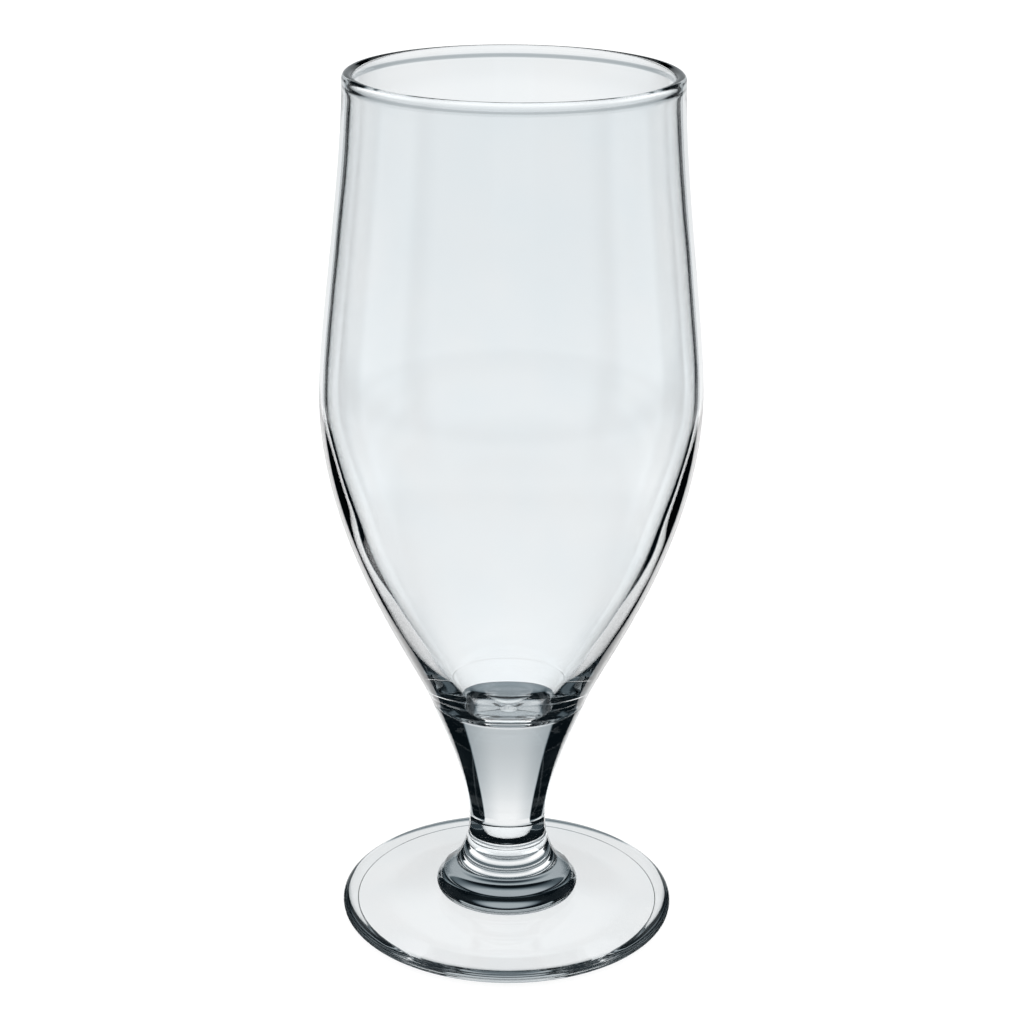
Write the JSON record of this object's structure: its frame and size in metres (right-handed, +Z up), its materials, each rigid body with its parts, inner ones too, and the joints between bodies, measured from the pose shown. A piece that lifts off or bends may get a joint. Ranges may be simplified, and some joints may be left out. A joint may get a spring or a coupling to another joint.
{
  "type": "stemmed beer glass",
  "caption": "Clear stemmed beer glass: a tulip bowl with a polished rim on a short flared stem, with a rolled collar over a thin round foot.",
  "frame": {"origin": "on the glass's axis, in the plane that the foot stands on", "axes": "+Z up along the axis, from the foot to the rim; X and Y are alike"},
  "size_m": [0.077, 0.077, 0.18],
  "materials": {
    "blown_glass": "clear, fire-polished",
    "pressed_glass": "clear, pressed and fire-polished"
  },
  "bodies": {
    "root": {"bowl": "blown_glass", "stem": "pressed_glass", "collar": "pressed_glass", "foot": "pressed_glass"}
  },
  "joints": []
}
